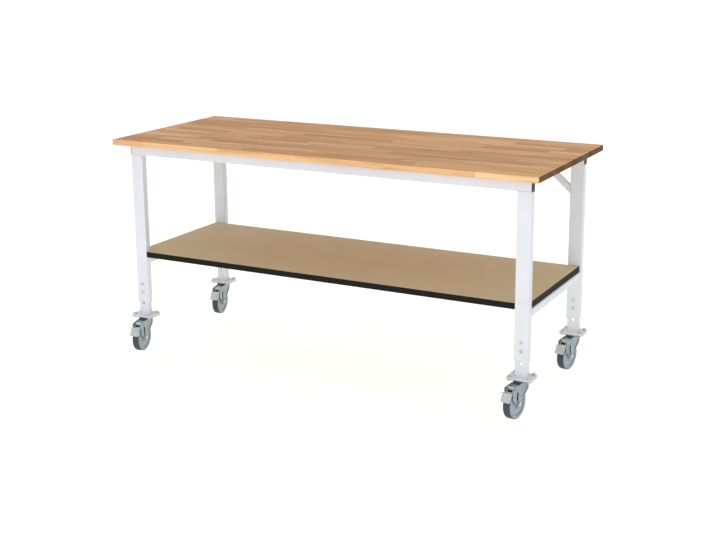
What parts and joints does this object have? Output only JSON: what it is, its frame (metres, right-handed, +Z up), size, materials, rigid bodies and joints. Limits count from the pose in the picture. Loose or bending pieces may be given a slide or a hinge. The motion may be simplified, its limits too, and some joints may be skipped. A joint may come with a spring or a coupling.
{
  "type": "mobile workbench",
  "caption": "Long mobile workbench: a beech top over a lower shelf in a pale steel tube frame, its telescopic legs standing on braked swivel castors.",
  "frame": {"origin": "on the floor, below the middle of the bench's whole box", "axes": "+X along the bench to the right end, +Y from the front edge to the back, +Z up"},
  "size_m": [2, 0.8474, 0.98],
  "materials": {
    "worktop_wood": "oiled beech strips",
    "shelf_wood": "matt beech decor",
    "edge_band": "matt black",
    "end_cap": "matt dark grey",
    "frame_paint": "light grey powder coat",
    "castor_zinc": "bright zinc",
    "fastener": "zinc plated",
    "wheel_plastic": "moulded grey",
    "tyre_rubber": "matt dark grey"
  },
  "bodies": {
    "bench": {"worktop": "worktop_wood", "shelf_panel": "shelf_wood", "shelf_edge_bands": "edge_band", "rail_end_caps": "end_cap", "front_rail": "frame_paint", "rear_rail": "frame_paint", "top_cross_rail_left": "frame_paint", "top_cross_rail_right": "frame_paint", "shelf_cross_rail_left": "frame_paint", "shelf_cross_rail_right": "frame_paint", "rear_brace_left": "frame_paint", "rear_brace_right": "frame_paint", "worktop_screws": "fastener", "shelf_screws": "fastener", "clamp_bolts": "fastener", "clamp_nuts": "fastener", "leg_front_left": "frame_paint", "leg_front_right": "frame_paint", "leg_rear_left": "frame_paint", "leg_rear_right": "frame_paint"},
    "foot_front_left": {"foot_tube_front_left": "frame_paint", "foot_plate_front_left": "frame_paint", "castor_plate_front_left": "castor_zinc", "castor_bolts_front_left": "fastener", "kingpin_front_left": "castor_zinc"},
    "swivel_front_left": {"fork_front_left": "castor_zinc", "axle_front_left": "fastener"},
    "wheel_front_left": {"wheel_centre_front_left": "wheel_plastic", "tyre_front_left": "tyre_rubber"},
    "pedal_front_left": {"brake_pedal_front_left": "castor_zinc"},
    "foot_front_right": {"foot_tube_front_right": "frame_paint", "foot_plate_front_right": "frame_paint", "castor_plate_front_right": "castor_zinc", "castor_bolts_front_right": "fastener", "kingpin_front_right": "castor_zinc"},
    "swivel_front_right": {"fork_front_right": "castor_zinc", "axle_front_right": "fastener"},
    "wheel_front_right": {"wheel_centre_front_right": "wheel_plastic", "tyre_front_right": "tyre_rubber"},
    "pedal_front_right": {"brake_pedal_front_right": "castor_zinc"},
    "foot_rear_left": {"foot_tube_rear_left": "frame_paint", "foot_plate_rear_left": "frame_paint", "castor_plate_rear_left": "castor_zinc", "castor_bolts_rear_left": "fastener", "kingpin_rear_left": "castor_zinc"},
    "swivel_rear_left": {"fork_rear_left": "castor_zinc", "axle_rear_left": "fastener"},
    "wheel_rear_left": {"wheel_centre_rear_left": "wheel_plastic", "tyre_rear_left": "tyre_rubber"},
    "pedal_rear_left": {"brake_pedal_rear_left": "castor_zinc"},
    "foot_rear_right": {"foot_tube_rear_right": "frame_paint", "foot_plate_rear_right": "frame_paint", "castor_plate_rear_right": "castor_zinc", "castor_bolts_rear_right": "fastener", "kingpin_rear_right": "castor_zinc"},
    "swivel_rear_right": {"fork_rear_right": "castor_zinc", "axle_rear_right": "fastener"},
    "wheel_rear_right": {"wheel_centre_rear_right": "wheel_plastic", "tyre_rear_right": "tyre_rubber"},
    "pedal_rear_right": {"brake_pedal_rear_right": "castor_zinc"}
  },
  "joints": [
    {"name": "height_front_left", "type": "slide", "parent": "bench", "child": "foot_front_left", "axis": [0, 0, 1], "range_m": [-0.055, 0.055]},
    {"name": "swivel_front_left", "type": "hinge", "parent": "foot_front_left", "child": "swivel_front_left", "pos_m": [-0.921, -0.29528, 0.14], "axis": [0, 0, 1], "continuous": true},
    {"name": "roll_front_left", "type": "hinge", "parent": "swivel_front_left", "child": "wheel_front_left", "pos_m": [-0.91197, -0.34649, 0.0625], "axis": [0.9848, 0.1736, 0], "continuous": true},
    {"name": "brake_front_left", "type": "hinge", "parent": "swivel_front_left", "child": "pedal_front_left", "pos_m": [-0.9085, -0.36619, 0.1315], "axis": [0.9848, 0.1736, 0], "range_deg": [0, 10]},
    {"name": "height_front_right", "type": "slide", "parent": "bench", "child": "foot_front_right", "axis": [0, 0, 1], "range_m": [-0.055, 0.055]},
    {"name": "swivel_front_right", "type": "hinge", "parent": "foot_front_right", "child": "swivel_front_right", "pos_m": [0.921, -0.29528, 0.14], "axis": [0, 0, 1], "continuous": true},
    {"name": "roll_front_right", "type": "hinge", "parent": "swivel_front_right", "child": "wheel_front_right", "pos_m": [0.91197, -0.34649, 0.0625], "axis": [0.9848, -0.1736, 0], "continuous": true},
    {"name": "brake_front_right", "type": "hinge", "parent": "swivel_front_right", "child": "pedal_front_right", "pos_m": [0.9085, -0.36619, 0.1315], "axis": [0.9848, -0.1736, 0], "range_deg": [0, 10]},
    {"name": "height_rear_left", "type": "slide", "parent": "bench", "child": "foot_rear_left", "axis": [0, 0, 1], "range_m": [-0.055, 0.055]},
    {"name": "swivel_rear_left", "type": "hinge", "parent": "foot_rear_left", "child": "swivel_rear_left", "pos_m": [-0.921, 0.34272, 0.14], "axis": [0, 0, 1], "continuous": true},
    {"name": "roll_rear_left", "type": "hinge", "parent": "swivel_rear_left", "child": "wheel_rear_left", "pos_m": [-0.91197, 0.29151, 0.0625], "axis": [0.9848, 0.1736, 0], "continuous": true},
    {"name": "brake_rear_left", "type": "hinge", "parent": "swivel_rear_left", "child": "pedal_rear_left", "pos_m": [-0.9085, 0.27181, 0.1315], "axis": [0.9848, 0.1736, 0], "range_deg": [0, 10]},
    {"name": "height_rear_right", "type": "slide", "parent": "bench", "child": "foot_rear_right", "axis": [0, 0, 1], "range_m": [-0.055, 0.055]},
    {"name": "swivel_rear_right", "type": "hinge", "parent": "foot_rear_right", "child": "swivel_rear_right", "pos_m": [0.921, 0.34272, 0.14], "axis": [0, 0, 1], "continuous": true},
    {"name": "roll_rear_right", "type": "hinge", "parent": "swivel_rear_right", "child": "wheel_rear_right", "pos_m": [0.91197, 0.29151, 0.0625], "axis": [0.9848, -0.1736, 0], "continuous": true},
    {"name": "brake_rear_right", "type": "hinge", "parent": "swivel_rear_right", "child": "pedal_rear_right", "pos_m": [0.9085, 0.27181, 0.1315], "axis": [0.9848, -0.1736, 0], "range_deg": [0, 10]}
  ]
}
